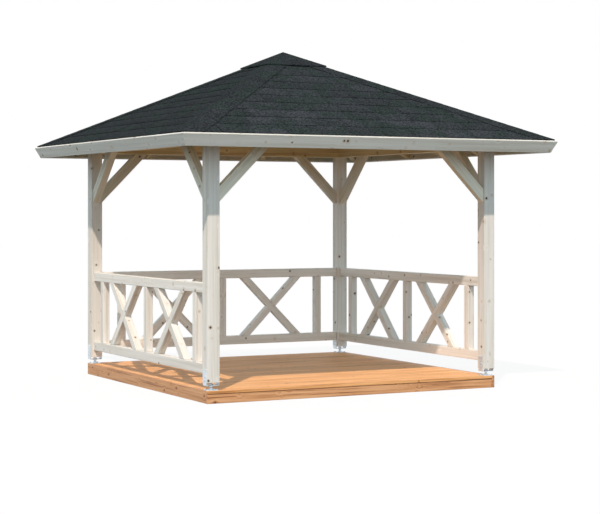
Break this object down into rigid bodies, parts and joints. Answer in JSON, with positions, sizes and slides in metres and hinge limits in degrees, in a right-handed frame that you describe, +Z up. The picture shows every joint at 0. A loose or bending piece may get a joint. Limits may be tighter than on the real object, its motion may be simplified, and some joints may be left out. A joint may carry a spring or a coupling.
{
  "type": "garden gazebo",
  "caption": "Square open garden gazebo: whitewashed timber posts on steel feet over a low deck, cross-braced railings, an open front and a hipped dark shingle roof.",
  "frame": {"origin": "middle of the square footprint, on the ground under the deck", "axes": "+Z up; the open front faces -Y; +X is to the right as seen from the front"},
  "size_m": [3.986, 3.986, 3.371],
  "materials": {
    "decking": "oiled softwood decking",
    "galvanised_steel": "hot-dip galvanised",
    "whitewashed_timber": "planed softwood with a white stain",
    "roof_timber": "planed softwood, untreated",
    "roof_shingles": "mineral-coated bitumen"
  },
  "bodies": {
    "root": {"deck_floor": "decking", "deck_joists": "decking", "deck_end_boards": "decking", "deck_side_boards": "decking", "foot_front_left": "galvanised_steel", "foot_front_right": "galvanised_steel", "foot_rear_left": "galvanised_steel", "foot_rear_right": "galvanised_steel", "post_front_left": "whitewashed_timber", "post_front_right": "whitewashed_timber", "post_rear_left": "whitewashed_timber", "post_rear_right": "whitewashed_timber", "beam_front": "roof_timber", "beam_rear": "roof_timber", "beam_left": "roof_timber", "beam_right": "roof_timber", "braces_front": "whitewashed_timber", "braces_rear": "whitewashed_timber", "braces_left": "whitewashed_timber", "braces_right": "whitewashed_timber", "left_rails": "whitewashed_timber", "left_uprights": "whitewashed_timber", "left_rising_boards": "whitewashed_timber", "left_falling_boards": "whitewashed_timber", "rear_rails": "whitewashed_timber", "rear_uprights": "whitewashed_timber", "rear_rising_boards": "whitewashed_timber", "rear_falling_boards": "whitewashed_timber", "right_rails": "whitewashed_timber", "right_uprights": "whitewashed_timber", "right_rising_boards": "whitewashed_timber", "right_falling_boards": "whitewashed_timber", "king_block": "roof_timber", "hip_rafters": "roof_timber", "side_rafters": "roof_timber", "roof_boards": "roof_timber", "fascia_front": "whitewashed_timber", "fascia_rear": "whitewashed_timber", "fascia_left": "whitewashed_timber", "fascia_right": "whitewashed_timber", "shingles_front": "roof_shingles", "shingles_rear": "roof_shingles", "shingles_left": "roof_shingles", "shingles_right": "roof_shingles", "hip_caps": "roof_shingles", "roof_cap": "roof_shingles"}
  },
  "joints": []
}
